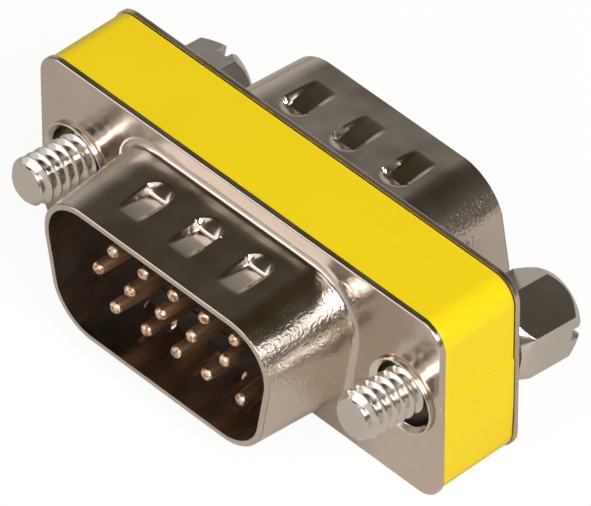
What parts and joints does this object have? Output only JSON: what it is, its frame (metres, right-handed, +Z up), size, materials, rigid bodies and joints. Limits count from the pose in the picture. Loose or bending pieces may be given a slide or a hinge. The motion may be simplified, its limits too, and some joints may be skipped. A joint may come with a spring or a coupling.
{
  "type": "d-sub gender changer",
  "caption": "Slim adapter with a D-shaped pin plug on both faces, joined pin to pin, held by eyelets and two loose hexagon jackscrews.",
  "frame": {"origin": "under the middle of the body, on the surface that its long side rests on", "axes": "+X along the flanges to the right seen from the front mouth, +Y from the front mouth to the rear mouth, +Z up, the front plug's wide side"},
  "size_m": [0.0307, 0.0176, 0.0123],
  "materials": {
    "nickel_shell": "nickel-plated drawn steel, satin with a soft grain",
    "nickel_eyelet": "nickel-plated rolled brass, bright",
    "nickel_screw": "nickel-plated turned steel with fine tool marks",
    "gold_contact": "thin gold plating over copper alloy",
    "dark_plastic": "moulded glass-filled plastic, black",
    "yellow_label": "glossy yellow vinyl, bare"
  },
  "bodies": {
    "adapter": {"front_shell": "nickel_shell", "rear_shell": "nickel_shell", "front_insulator": "dark_plastic", "rear_insulator": "dark_plastic", "contact_01": "gold_contact", "contact_02": "gold_contact", "contact_03": "gold_contact", "contact_04": "gold_contact", "contact_05": "gold_contact", "contact_06": "gold_contact", "contact_07": "gold_contact", "contact_08": "gold_contact", "contact_09": "gold_contact", "contact_10": "gold_contact", "contact_11": "gold_contact", "contact_12": "gold_contact", "contact_13": "gold_contact", "contact_14": "gold_contact", "contact_15": "gold_contact", "left_eyelet": "nickel_eyelet", "right_eyelet": "nickel_eyelet", "label_band": "yellow_label"},
    "left_screw": {"left_jackscrew": "nickel_screw"},
    "right_screw": {"right_jackscrew": "nickel_screw"}
  },
  "joints": [
    {"name": "left_screw_turn", "type": "hinge", "parent": "adapter", "child": "left_screw", "pos_m": [-0.01249, 0, 0.00595], "axis": [0, 0.9947, -0.1028], "continuous": true},
    {"name": "right_screw_turn", "type": "hinge", "parent": "adapter", "child": "right_screw", "pos_m": [0.01249, 0, 0.00615], "axis": [0, 0.9947, -0.1028], "continuous": true}
  ]
}
